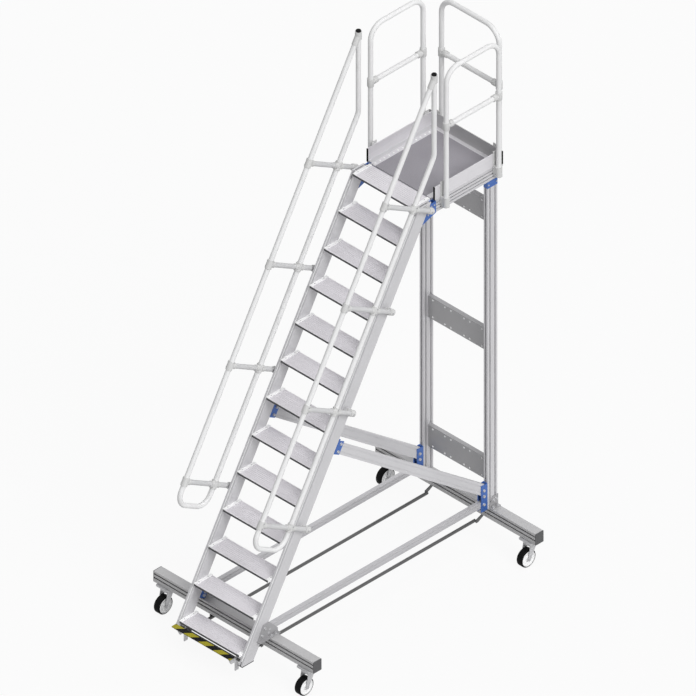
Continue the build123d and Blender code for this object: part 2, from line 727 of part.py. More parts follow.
def caster_fork():
    """Swivel head, crown and two legs, with the swivel axis at the origin."""
    top = BEAM_BOTTOM - CASTER_PLATE - FACE_FIT
    crown_top = top - HEAD_H
    crown_low = crown_top - CROWN
    leg_x = WHEEL_W / 2 + FORK_GAP
    outer_x = leg_x + FORK_WALL
    fork = extrude(Pos(0, 0, crown_top) * Circle(HEAD_R), HEAD_H)
    fork += block(-outer_x, outer_x, -FORK_TOP_W / 2, FORK_TOP_W / 2, crown_low, crown_top)
    tangent = (
        (-FORK_TOP_W / 2, crown_low),
        (FORK_TOP_W / 2, crown_low),
        (-CASTER_TRAIL + FORK_BOSS_R, WHEEL_R),
        (-CASTER_TRAIL - FORK_BOSS_R, WHEEL_R),
    )
    for side in SIDES:
        across = sorted((side * leg_x, side * outer_x))
        fork += side_plate(tangent, *across)
        boss = Pos((across[0] + across[1]) / 2, -CASTER_TRAIL, WHEEL_R)
        fork += boss * Rot(Y=90) * Cylinder(FORK_BOSS_R, FORK_WALL)
    fork -= Pos(0, 0, crown_top) * Cylinder(KINGPIN_R + RUNNING_FIT, 2 * (HEAD_H + CROWN))
    return fork - Pos(0, -CASTER_TRAIL, WHEEL_R) * Rot(Y=90) * Cylinder(AXLE_R, 2 * outer_x)


def caster_axle():
    """Axle bolt through the fork legs, with the swivel axis at the origin."""
    outer_x = WHEEL_W / 2 + FORK_GAP + FORK_WALL
    bolt = Cylinder(AXLE_R, 2 * outer_x)
    for side in SIDES:
        head = extrude(RegularPolygon(AXLE_HEAD_R, 6), AXLE_HEAD / 2, both=True)
        bolt += Pos(0, 0, side * (outer_x + AXLE_HEAD / 2)) * head
    return Pos(0, -CASTER_TRAIL, WHEEL_R) * Rot(Y=90) * bolt


def turned(points):
    """Solid of revolution about the axle from an outline of radius and width."""
    outline = make_face(Plane.XZ * Polyline(*points, close=True))
    body = revolve(outline, Axis.Z)
    return Pos(0, -CASTER_TRAIL, WHEEL_R) * Rot(Y=90) * body


def wheel():
    """Hub, web and rim of a caster wheel, with the swivel axis at the origin."""
    bore = AXLE_R + RUNNING_FIT
    rim = WHEEL_R - TYRE_THICK
    inner = rim - RIM_WALL
    hub, web, width = HUB_W / 2, WEB_WALL / 2, WHEEL_W / 2
    return turned(
        (
            (bore, -hub),
            (HUB_R, -hub),
            (HUB_R, -web),
            (inner, -web),
            (inner, -width),
            (rim, -width),
            (rim, width),
            (inner, width),
            (inner, web),
            (HUB_R, web),
            (HUB_R, hub),
            (bore, hub),
        )
    )


def tyre():
    """Tyre band with bevelled shoulders."""
    rim = WHEEL_R - TYRE_THICK
    half = WHEEL_W / 2
    shoulder = TYRE_THICK / 3
    return turned(
        (
            (rim, -half),
            (WHEEL_R - shoulder, -half),
            (WHEEL_R, -half + shoulder),
            (WHEEL_R, half - shoulder),
            (WHEEL_R - shoulder, half),
            (rim, half),
        )
    )


# Base
save("front_beam", base_beam(0))
save("rear_beam", base_beam(BEAM_SPACING))
beam_ends = [beam_cap(y, side) for y in (0, BEAM_SPACING) for side in SIDES]
save("profile_caps", *beam_ends, *[stringer_foot(side) for side in SIDES])
save("base_gussets", *[gusset(side) for gusset in (beam_gusset, post_gusset) for side in SIDES])

# Flight
save("stringer_left", stringer(-1))
save("stringer_right", stringer(1))
save("steps", *up_the_flight(step()))
save("step_end_caps", *[cap for side in SIDES for cap in up_the_flight(step_end_cap(side))])

# Rear frame
save("post_left", post(-1))
save("post_right", post(1))
save("post_heads", *[post_head(side) for side in SIDES])
plate_levels = [CROSS_PLATE_LOW_Z + row * CROSS_PLATE_PITCH for row in range(CROSS_PLATE_COUNT)]
save("cross_plates", *[cross_plate(z) for z in plate_levels])
save("braces", *[tie(side, BRACE_TOP_Z, BRACE_FOOT_Z, BRACE_H) for side in SIDES])
save("base_rails", *[tie(side, RAIL_Z, RAIL_Z, RAIL_H) for side in SIDES])
save("post_shoes", *[post_shoe(side) for side in SIDES])
shoe_table = ((BRACE_TOP_Z, BRACE_H + 2 * SHOE_OVER), (RAIL_Z, RAIL_H + 2 * SHOE_OVER))
save("flight_shoes", *[flight_shoe(side, *row) for side in SIDES for row in shoe_table])

# Platform
save("side_beam_left", side_beam(-1))
save("side_beam_right", side_beam(1))
front_member = cross_member(PLATFORM_FRONT_Y, DECK_Z - DECK_WALL)
rear_member = cross_member(DECK_REAR_Y, DECK_Z)
save("deck_frame", front_member, rear_member, *[deck_trim(side) for side in SIDES])
save("deck", deck())
save("joint_brackets", *[joint_bracket(side) for side in SIDES])
save("toe_boards_side", *[side_toe_board(side) for side in SIDES])
save("toe_board_rear", rear_toe_board())

# Guards
save("guard_left", guard(*[(-RAIL_X, y) for y in GUARD_LEGS_Y]))
save("guard_right", guard(*[(RAIL_X, y) for y in GUARD_LEGS_Y]))
save("guard_rear", guard(*[(x, GUARD_REAR_Y) for x in GUARD_LEGS_X]))
clamps = [guard_clamp(-RAIL_X, y, 180) for y in GUARD_LEGS_Y]
clamps += [guard_clamp(RAIL_X, y, 0) for y in GUARD_LEGS_Y]
clamps += [guard_clamp(x, GUARD_REAR_Y, 90) for x in GUARD_LEGS_X]
save("guard_clamps", *clamps)

# Handrails
save("handrail_left", handrail(-1))
save("handrail_right", handrail(1))
stations = [(side, s) for side in SIDES for s in STRUT_STATIONS]
socket_n = STUB_L - SOCKET
strut_spans = ((HAND_N + socket_n, KNEE_N - socket_n), (KNEE_N + socket_n, STRUT_END_N))
save("struts", *[strut(side, s, *span) for side, s in stations for span in strut_spans])
save("handrail_tees", *[rail_fitting(side, s, HAND_N, (1,)) for side, s in stations])
save("knee_rail_crosses", *[rail_fitting(side, s, KNEE_N, (-1, 1)) for side, s in stations])
save("strut_feet", *[strut_foot(side, s) for side, s in stations])
save("top_fittings", *[top_fitting(side) for side in SIDES])
cap_kinds = (tube_cap, toe_cap_front, toe_cap_rear)
save("black_caps", *[cap(side) for cap in cap_kinds for side in SIDES])

# Foot brake
save("brake_pedal", brake_pedal())
save("brake_levers", *[brake_lever(side) for side in SIDES])
save("brake_shaft", brake_shaft())
save("brake_rods", *[brake_rod(side) for side in SIDES])
hanger_table = ((0, 0), (BEAM_SPACING, HANGER_LEAN))
save("brake_hangers", *[brake_hanger(side, *row) for side in SIDES for row in hanger_table])

# Casters
caster_pieces = (
    ("caster_plate", caster_plate()),
    ("caster_fork", caster_fork()),
    ("caster_axle", caster_axle()),
    ("wheel", wheel()),
    ("tyre", tyre()),
)
for place, x, y in caster_places():
    for piece_name, piece in caster_pieces:
        save(f"{piece_name}_{place}", Pos(x, y, 0) * piece)
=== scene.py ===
import math

import bpy
from bpy.props import FloatProperty, FloatVectorProperty, IntProperty, PointerProperty
from mathutils import Matrix, Vector


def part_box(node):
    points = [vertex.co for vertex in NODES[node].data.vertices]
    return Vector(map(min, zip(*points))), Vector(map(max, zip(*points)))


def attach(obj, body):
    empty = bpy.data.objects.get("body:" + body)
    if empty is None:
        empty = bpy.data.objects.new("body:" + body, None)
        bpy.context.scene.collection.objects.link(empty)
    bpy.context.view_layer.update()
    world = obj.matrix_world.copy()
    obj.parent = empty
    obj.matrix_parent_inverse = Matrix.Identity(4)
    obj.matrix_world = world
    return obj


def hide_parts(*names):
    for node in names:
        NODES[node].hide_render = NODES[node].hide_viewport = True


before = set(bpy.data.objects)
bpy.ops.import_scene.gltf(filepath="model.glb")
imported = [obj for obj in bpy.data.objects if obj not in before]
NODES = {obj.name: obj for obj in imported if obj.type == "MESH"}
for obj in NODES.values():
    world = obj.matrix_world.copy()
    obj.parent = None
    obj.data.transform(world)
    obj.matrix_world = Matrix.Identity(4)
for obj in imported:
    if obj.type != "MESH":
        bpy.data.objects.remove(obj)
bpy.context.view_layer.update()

bl_info = {
    "name": "Mobile platform stairs",
    "version": (1, 0, 0),
    "blender": (4, 5, 0),
    "location": "View3D > Sidebar > Stairs",
    "description": "Finishes, fasteners, tyres and stage for a set of mobile platform stairs",
    "category": "Object",
}

CORNERS = ("front_left", "front_right", "rear_left", "rear_right")
SIDES = (-1, 1)

# Lines that the fasteners are set out on, in metres
PITCH = math.radians(60)
RISE = 0.25
STEP_COUNT = 13
RUN = RISE / math.tan(PITCH)
NOSE_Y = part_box("steps")[0][1]
INNER_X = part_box("steps")[1][0] + 0.004
OUTER_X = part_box("stringer_right")[1][0]
DECK_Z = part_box("deck")[1][2]
BEAM_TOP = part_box("front_beam")[1][2]
BEAM_FRONT_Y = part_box("front_beam")[0][1]
POST_FRONT_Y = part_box("post_right")[0][1]
POST_REAR_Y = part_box("post_right")[1][1]
JOINT_REAR_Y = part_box("joint_brackets")[1][1]
TUBE_R = 0.019
SLEEVE_R = 0.025
RAIL_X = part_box("handrail_right")[1][0] - TUBE_R
STRINGER_FRONT_N = 0.027
STRINGER_REAR_N = 0.127
HANDRAIL_N = -0.430
KNEE_RAIL_N = -0.095
STRUT_FOOT_N = 0.095
STRUT_STATIONS = (1.018, 1.918, 2.702, 3.486)
GUSSET_WALL = 0.007

# Look of the pedal, the wheels and the stage
STRIPE_PERIOD = 0.148
DULL_SHINE = 0.08
TUBE_SHINE = 0.15
RIM_GAP = 0.0002
FLOOR_SIZE = 60
FLOOR_TONE = 0.55
FLOOR_GLOW = 0.92
SKY_LIGHT = 0.33
SKY_TINT = (0.96, 0.965, 0.98, 1)
LAMP_DISTANCE = 8
VIEW_WIDTH = 4.914
VIEW_TARGET = Vector((0, 0.111, 2.067))
VIEW_DISTANCE = 14

# Noise counts per metre on each axis, for lines drawn along X, Y and Z
GRAIN_X = (1.5, 130.0, 130.0)
GRAIN_Y = (130.0, 1.5, 130.0)
GRAIN_Z = (130.0, 130.0, 1.5)


def flight_point(x, n, s):
    """Place s up the flight and n square behind the nosings."""
    y = NOSE_Y + n * math.sin(PITCH) + s * math.cos(PITCH)
    return Vector((x, y, RISE - n * math.cos(PITCH) + s * math.sin(PITCH)))


def flight_level(x, n, z):
    """Place at height z and n square behind the nosings."""
    return flight_point(x, n, (z - RISE + n * math.cos(PITCH)) / math.sin(PITCH))


# Shader values


class Value:
    """A shader output that takes part in plain arithmetic."""

    def __init__(self, finish, socket):
        self.finish = finish
        self.socket = socket

    def math(self, operation, *terms):
        return self.finish.node("ShaderNodeMath", {"operation": operation}, dict(enumerate(terms)))

    def __add__(self, other):
        return self.math("ADD", self, other)

    def __sub__(self, other):
        return self.math("SUBTRACT", self, other)

    def __rsub__(self, other):
        return self.math("SUBTRACT", other, self)

    def __mul__(self, other):
        return self.math("MULTIPLY", self, other)

    def __truediv__(self, other):
        return self.math("DIVIDE", self, other)

    def __abs__(self):
        return self.math("ABSOLUTE", self)

    __radd__ = __add__
    __rmul__ = __mul__

    def fraction(self):
        return self.math("FRACT", self)

    def between(self, low, high):
        """Ramp from 0 at low to 1 at high."""
        return self.finish.node(
            "ShaderNodeMapRange",
            {"interpolation_type": "SMOOTHSTEP"},
            {"Value": self, "From Min": low, "From Max": high},
        )


def finish_name(name):
    """Material name of a finish, apart from the names of the record's slots."""
    return f"{name} finish"


class Finish:
    """A node material on Object coordinates, with one Principled shader."""

    def __init__(self, name):
        self.material = bpy.data.materials.new(finish_name(name))
        self.material.use_nodes = True
        self.tree = self.material.node_tree
        self.tree.nodes.clear()
        self.shader = self.tree.nodes.new("ShaderNodeBsdfPrincipled")
        output = self.tree.nodes.new("ShaderNodeOutputMaterial")
        self.tree.links.new(self.shader.outputs[0], output.inputs["Surface"])
        self.place = self.node("ShaderNodeTexCoord", output="Object")

    def plug(self, socket, value):
        """Link a value into a socket, or set the socket."""
        if isinstance(value, Value):
            self.tree.links.new(value.socket, socket)
        else:
            socket.default_value = value

    def node(self, kind, settings=None, inputs=None, output=0):
        """Add a node, set it up, fill its sockets and give one output."""
        made = self.tree.nodes.new(kind)
        for name, value in (settings or {}).items():
            setattr(made, name, value)
        for name, value in (inputs or {}).items():
            self.plug(made.inputs[name], value)
        return Value(self, made.outputs[output])

    def noise(self, stretch, detail=3.0, turn=0.0):
        """Noise with its own count per metre on each axis, turned about X."""
        point = self.place
        if turn:
            point = self.node(
                "ShaderNodeVectorRotate", {"rotation_type": "X_AXIS"}, {"Vector": point, "Angle": turn}
            )
        spread = self.node("ShaderNodeVectorMath", {"operation": "MULTIPLY"}, {0: point, 1: stretch})
        return self.node("ShaderNodeTexNoise", None, {"Vector": spread, "Scale": 1.0, "Detail": detail})

    def axis(self, letter):
        """One coordinate of the place, in metres."""
        return self.node("ShaderNodeSeparateXYZ", None, {0: self.place}, letter)

    def blend(self, share, first, second):
        """Colour between two colours."""
        made = self.tree.nodes.new("ShaderNodeMix")
        made.data_type = "RGBA"
        self.plug(made.inputs[0], share)
        for socket, colour in ((made.inputs[6], first), (made.inputs[7], second)):
            self.plug(socket, colour if isinstance(colour, Value) else (*colour, 1))
        return Value(self, made.outputs[2])

    def relief(self, height, depth, strength=1.0):
        """Bump from a height between 0 and 1, depth in metres."""
        return self.node(
            "ShaderNodeBump", None, {"Height": height, "Distance": depth, "Strength": strength}, "Normal"
        )

    def surface(self, sockets):
        """Fill the shader's sockets and give the material."""
        for name, value in sockets.items():
            self.plug(self.shader.inputs[name], value)
        return self.material


def scaled(colour, factor):
    """Colour made lighter or darker."""
    return tuple(min(channel * factor, 1.0) for channel in colour)


def drawn_metal(name, colour, stretch, turn=0.0, metallic=0.25, roughness=0.42):
    """Extruded metal with die lines along one direction and handling marks."""
    finish = Finish(name)
    lines = finish.noise(stretch, 2.0, turn)
    clouds = finish.noise((3.0, 3.0, 3.0), 4.0)
    marks = finish.noise((40.0, 40.0, 40.0), 6.0).between(0.62, 0.72)
    tone = finish.blend(lines, scaled(colour, 0.93), scaled(colour, 1.06))
    tone = finish.blend(clouds.between(0.35, 0.7) * 0.35, tone, scaled(colour, 0.88))
    tone = finish.blend(marks * 0.18, tone, scaled(colour, 0.8))
    return finish.surface(
        {
            "Base Color": tone,
            "Metallic": metallic,
            "Roughness": lines * 0.16 + marks * 0.12 + (roughness - 0.08),
            "Normal": finish.relief(lines, 0.0002),
        }
    )


def coated_metal(name, colour, roughness=0.38, peel=0.0001, metallic=0.0, shine=0.5):
    """Powder coat or polished tube with a faint orange peel and rubbed patches."""
    finish = Finish(name)
    skin = finish.noise((420.0, 420.0, 420.0), 1.0)
    rubs = finish.noise((6.0, 6.0, 6.0), 5.0).between(0.5, 0.75)
    specks = finish.noise((160.0, 160.0, 160.0), 2.0).between(0.68, 0.74)
    tone = finish.blend(rubs * 0.5, colour, scaled(colour, 0.9))
    tone = finish.blend(specks * 0.18, tone, scaled(colour, 0.72))
    return finish.surface(
        {
            "Base Color": tone,
            "Metallic": metallic,
            "Roughness": rubs * 0.14 + roughness,
            "Specular IOR Level": shine,
            "Normal": finish.relief(skin, peel),
        }
    )


def tread_metal(name, colour):
    """Ribbed tread with streaks across the flight and scuffs from soles."""
    finish = Finish(name)
    streaks = finish.noise((4.0, 150.0, 60.0), 3.0)
    scuffs = finish.noise((14.0, 60.0, 60.0), 6.0).between(0.56, 0.7)
    grit = finish.noise((700.0, 700.0, 700.0), 1.0)
    tone = finish.blend(streaks, scaled(colour, 0.9), scaled(colour, 1.07))
    tone = finish.blend(scuffs * 0.3, tone, scaled(colour, 0.78))
    return finish.surface(
        {
            "Base Color": tone,
            "Metallic": 0.15,
            "Roughness": scuffs * 0.2 + streaks * 0.1 + 0.42,
            "Normal": finish.relief(grit * 0.5 + streaks * 0.5, 0.0004),
        }
    )


def studded_plate(name, colour):
    """Deck plate with a fine grid of raised studs and worn tops."""
    finish = Finish(name)
    across = abs((finish.axis("X") * 80.0).fraction() - 0.5)
    along = abs((finish.axis("Y") * 80.0).fraction() - 0.5)
    stud = (across * across + along * along).between(0.1, 0.03)
    wear = finish.noise((5.0, 5.0, 5.0), 6.0).between(0.45, 0.72)
    grit = finish.noise((500.0, 500.0, 500.0), 2.0)
    tone = finish.blend(grit, scaled(colour, 0.86), scaled(colour, 1.1))
    tone = finish.blend(stud * 0.22, tone, scaled(colour, 1.35))
    tone = finish.blend(wear * 0.2, tone, scaled(colour, 0.82))
    return finish.surface(
        {
            "Base Color": tone,
            "Metallic": 0.1,
            "Roughness": 0.62 - stud * 0.14 + wear * 0.1,
            "Normal": finish.relief(stud + grit * 0.25, 0.0008),
        }
    )


def warning_stripes(name, light, dark):
    """Slanted stripes in two colours with rubbed paint."""
    finish = Finish(name)
    slant = finish.axis("X") - finish.axis("Y")
    stripe = (slant / STRIPE_PERIOD).fraction().between(0.495, 0.505)
    rubs = finish.noise((30.0, 90.0, 30.0), 6.0).between(0.55, 0.7)
    grit = finish.noise((600.0, 600.0, 600.0), 1.0)
    tone = finish.blend(stripe, light, dark)
    tone = finish.blend(rubs * 0.1, tone, (0.22, 0.21, 0.18))
    return finish.surface(
        {
            "Base Color": tone,
            "Roughness": rubs * 0.2 + 0.5,
            "Specular IOR Level": DULL_SHINE,
            "Normal": finish.relief(grit, 0.0003),
        }
    )


def zinc_metal(name, colour):
    """Zinc plate with spangles and dull patches."""
    finish = Finish(name)
    flakes = finish.node(
        "ShaderNodeTexVoronoi", None, {"Vector": finish.place, "Scale": 140.0}, "Color"
    )
    flake = finish.node("ShaderNodeSeparateColor", None, {0: flakes}, 0)
    dull = finish.noise((22.0, 22.0, 22.0), 4.0).between(0.45, 0.7)
    tone = finish.blend(flake, scaled(colour, 0.86), scaled(colour, 1.1))
    tone = finish.blend(dull * 0.3, tone, scaled(colour, 0.78))
    return finish.surface(
        {
            "Base Color": tone,
            "Metallic": 0.4,
            "Roughness": dull * 0.2 + flake * 0.1 + 0.34,
            "Normal": finish.relief(dull, 0.0002),
        }
    )


def moulded(name, colour, roughness, grain, coat=0.0, shine=0.5):
    """Moulded plastic or rubber with a fine grain and dusty patches."""
    finish = Finish(name)
    pores = finish.noise((grain, grain, grain), 3.0)
    dust = finish.noise((25.0, 25.0, 25.0), 5.0).between(0.5, 0.75)
    tone = finish.blend(pores, scaled(colour, 0.9), scaled(colour, 1.1))
    tone = finish.blend(dust * 0.25, tone, tuple(0.9 * c + 0.012 for c in colour))
    return finish.surface(
        {
            "Base Color": tone,
            "Roughness": dust * 0.14 + roughness,
            "Specular IOR Level": shine,
            "Coat Weight": coat,
            "Normal": finish.relief(pores, 0.0002),
        }
    )


# Modelling helpers


def clear_selection():
    """Object mode with nothing selected."""
    if bpy.context.mode != "OBJECT":
        bpy.ops.object.mode_set(mode="OBJECT")
    bpy.ops.object.select_all(action="DESELECT")


def pick(piece, kind, test):
    """Edit mode with the faces or edges that pass the test selected."""
    bpy.ops.object.mode_set(mode="EDIT")
    bpy.ops.mesh.select_mode(type=kind)
    bpy.ops.mesh.select_all(action="DESELECT")
    bpy.ops.object.mode_set(mode="OBJECT")
    mesh = piece.data
    parts = mesh.polygons if kind == "FACE" else mesh.edges
    for part in parts:
        part.select = test(mesh, part)
    bpy.ops.object.mode_set(mode="EDIT")


def on_axis(mesh, face):
    """Test for a level face with its middle on the Z axis."""
    return abs(face.normal.z) > 0.9 and face.center.xy.length < 1e-4


def at_height(z):
    """Test for the middle face at a height."""
    return lambda mesh, face: abs(face.center.z - z) < 1e-5 and on_axis(mesh, face)


def rim_at(z, radius):
    """Test for an edge of the ring at a height and radius."""

    def test(mesh, edge):
        ends = [mesh.vertices[i].co for i in edge.vertices]
        return all(abs(co.z - z) < 1e-5 and abs(co.xy.length - radius) < 1e-5 for co in ends)

    return test


def round_bar(name, corners, radius, length):
    """Start a piece from a round bar that stands on the origin."""
    clear_selection()
    bpy.ops.mesh.primitive_cylinder_add(
        vertices=corners, radius=radius, depth=length, location=(0, 0, length / 2)
    )
    bpy.ops.object.transform_apply(location=True, rotation=True, scale=True)
    piece = bpy.context.object
    piece.name = name
    return piece


def square_bar(name, size):
    """Start a piece from a square bar with its middle on the origin."""
    clear_selection()
    bpy.ops.mesh.primitive_cube_add(size=1)
    piece = bpy.context.object
    piece.name = name
    piece.scale = size
    bpy.ops.object.transform_apply(location=True, rotation=True, scale=True)
    return piece


def raise_front(piece, inset, push):
    """Inset the front face of a bar and move it along Y."""
    pick(piece, "FACE", lambda mesh, face: face.normal.y < -0.9)
    bpy.ops.mesh.inset(thickness=inset)
    bpy.ops.transform.translate(value=(0, push, 0))


def sleeve(name, corners, radius, bore, length):
    """Start a piece from a round bar with a bore right through."""
    piece = round_bar(name, corners, radius, length)
    pick(piece, "FACE", lambda mesh, face: abs(face.normal.z) > 0.9)
    bpy.ops.mesh.inset(thickness=radius - bore)
    bpy.ops.mesh.bridge_edge_loops()
    bpy.ops.object.mode_set(mode="OBJECT")
    return piece


def bevel_rim(piece, z, radius, width, steps):
    """Round the ring edge of a turned piece."""
    pick(piece, "EDGE", rim_at(z, radius))
    bpy.ops.mesh.bevel(offset=width, segments=steps, affect="EDGES")
    bpy.ops.object.mode_set(mode="OBJECT")


def sink_ring(piece, z, inset, drop):
    """Inset the middle face at a height and move it along Z."""
    pick(piece, "FACE", at_height(z))
    bpy.ops.mesh.inset(thickness=inset)
    bpy.ops.transform.translate(value=(0, 0, drop))
    bpy.ops.object.mode_set(mode="OBJECT")


def smooth(piece, angle=35):
    """Smooth shading with sharp edges kept."""
    clear_selection()
    piece.select_set(True)
    bpy.context.view_layer.objects.active = piece
    bpy.ops.object.shade_smooth_by_angle(angle=math.radians(angle))


def spread(master, name, places):
    """One piece made of a copy of the master at each place."""
    clear_selection()
    copies = []
    for place in places:
        copy = master.copy()
        copy.data = master.data.copy()
        copy.data.transform(place)
        bpy.context.scene.collection.objects.link(copy)
        copies.append(copy)
    for copy in copies:
        copy.select_set(True)
    bpy.context.view_layer.objects.active = copies[0]
    if len(copies) > 1:
        bpy.ops.object.join()
    copies[0].name = name
    return copies[0]


def drop_master(master):
    """Remove the master once its copies are made."""
    bpy.data.objects.remove(master, do_unlink=True)


def fit(piece, body, finish):
    """Give a piece its finish and body."""
    piece.data.materials.clear()
    piece.data.materials.append(bpy.data.materials[finish_name(finish)])
    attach(piece, body)


def facing(direction):
    """Turn that points +Z along a direction."""
    return Vector(direction).to_track_quat("Z", "Y").to_matrix().to_4x4()


def put(point, direction):
    """Place for a fastener that looks along a direction."""
    return Matrix.Translation(Vector(point)) @ facing(direction)


def through(point, side):
    """Places for a head and a nut on the outer and inner face of a side member."""
    places = []
    for x, way in ((OUTER_X, side), (INNER_X, -side)):
        places.append(put((side * x, point.y, point.z), (way, 0, 0)))
    return places


def hex_bolt(name, size):
    """Hexagon head on a washer, on the origin and along +Z."""
    head = size * 0.64
    washer = size * 0.2
    piece = round_bar(name, 24, size * 1.12, washer)
    bevel_rim(piece, washer, size * 1.12, washer * 0.4, 1)
    pick(piece, "FACE", lambda mesh, face: False)
    bpy.ops.mesh.primitive_cylinder_add(
        vertices=6, radius=size, depth=head, location=(0, 0, washer + head / 2)
    )
    bpy.ops.object.mode_set(mode="OBJECT")
    sink_ring(piece, washer + head, size * 0.16, size * 0.06)
    sink_ring(piece, washer + head + size * 0.06, size * 0.2, -size * 0.05)
    smooth(piece, 30)
    return piece


def socket_screw(name, size):
    """Round head with a hexagon-like recess, on the origin and along +Z."""
    piece = round_bar(name, 18, size, size * 0.7)
    bevel_rim(piece, size * 0.7, size, size * 0.18, 2)
    sink_ring(piece, size * 0.7, size * 0.32, 0)
    sink_ring(piece, size * 0.7, size * 0.04, -size * 0.4)
    smooth(piece, 30)
    return piece


def dome_rivet(name, size):
    """Low domed head, on the origin and along +Z."""
    piece = round_bar(name, 16, size, size * 0.3)
    sink_ring(piece, size * 0.3, size * 0.28, size * 0.16)
    sink_ring(piece, size * 0.46, size * 0.34, size * 0.08)
    smooth(piece, 60)
    return piece


# Settings


class StairsSizes(bpy.types.PropertyGroup):
    """Sizes of the fasteners and turned pieces."""

    bolt_radius: FloatProperty(
        name="Bolt radius", description="Radius of a bolt head across its corners",
        default=0.0105, min=0.004, max=0.02, unit="LENGTH",
    )
    screw_radius: FloatProperty(
        name="Screw radius", description="Radius of a socket screw head",
        default=0.0062, min=0.003, max=0.012, unit="LENGTH",
    )
    rivet_radius: FloatProperty(
        name="Rivet radius", description="Radius of a rivet head on the cross plates",
        default=0.0075, min=0.003, max=0.012, unit="LENGTH",
    )
    tread_screw_radius: FloatProperty(
        name="Tread screw radius", description="Radius of a screw head on the tread strips",
        default=0.0045, min=0.002, max=0.008, unit="LENGTH",
    )
    caster_bolt_radius: FloatProperty(
        name="Caster bolt radius", description="Radius of a bolt head under a caster plate",
        default=0.0075, min=0.004, max=0.012, unit="LENGTH",
    )
    tyre_shoulder: FloatProperty(
        name="Tyre shoulder", description="Radius of the rounded shoulder of a tyre",
        default=0.008, min=0.002, max=0.015, unit="LENGTH",
    )
    turned_corners: IntProperty(
        name="Turned corners", description="Corners round a turned wheel piece", default=72, min=24, max=128,
    )


def colour_property(name, description, default):
    """Colour setting of one finish."""
    return FloatVectorProperty(
        name=name, description=description, subtype="COLOR", size=3, default=default, min=0, max=1
    )


class StairsColours(bpy.types.PropertyGroup):
    """Colours of the finishes."""

    profile: colour_property("Profile", "Extruded beams, posts and stringers", (0.60, 0.595, 0.61))
    # The toe boards are one material: the paler board tone on the side toe boards is painted light, and the
    # rear toe board's darker beam tone is painted shade
    board: colour_property("Board", "Side toe boards and deck trims", (0.71, 0.696, 0.72))
    beam: colour_property("Beam", "Base beams and rear toe board", (0.47, 0.467, 0.47))
    rail: colour_property("Rail", "Base rails", (0.51, 0.505, 0.52))
    tread: colour_property("Tread", "Step treads", (0.74, 0.72, 0.75))
    # The end strip's near-white tone is painted light on the tread ends
    strip: colour_property("End strip", "Pale strips at the ends of the treads", (0.93, 0.93, 0.93))
    tube: colour_property("Tube", "Handrail and guard tube", (0.78, 0.78, 0.78))
    strut: colour_property("Strut", "Short tubes between the rails", (0.58, 0.58, 0.585))
    fitting: colour_property("Fitting", "Cast tees, clamps and feet", (0.62, 0.62, 0.615))
    plate: colour_property("Plate", "Cross plates", (0.41, 0.407, 0.415))
    bracket: colour_property("Bracket", "Angle brackets on the base", (0.36, 0.357, 0.365))
    blue: colour_property("Blue bracket", "Blue joint brackets", (0.05, 0.135, 0.43))
    deck: colour_property("Deck", "Deck plate", (0.31, 0.297, 0.325))
    warning_light: colour_property("Warning light", "Light stripes of the pedal", (0.34, 0.30, 0.025))
    warning_dark: colour_property("Warning dark", "Dark stripes of the pedal", (0.005, 0.005, 0.005))
    rod: colour_property("Rod", "Brake rods and shaft", (0.115, 0.115, 0.115))
    zinc: colour_property("Zinc", "Caster forks, plates and bolts", (0.52, 0.52, 0.53))
    disc: colour_property("Wheel disc", "Wheel centres", (0.90, 0.90, 0.90))
    rubber: colour_property("Rubber", "Tyres and black caps", (0.004, 0.004, 0.0042))
    cap: colour_property("Beam cap", "Caps on the ends of the base beams", (0.07, 0.07, 0.073))
    # Nosing is painted shade: the colour of the dark strips along the treads' front edges
    nosing: colour_property("Nosing", "Dark strips that paint shade on the front edges of the treads", (0.11, 0.11, 0.115))


# Pieces


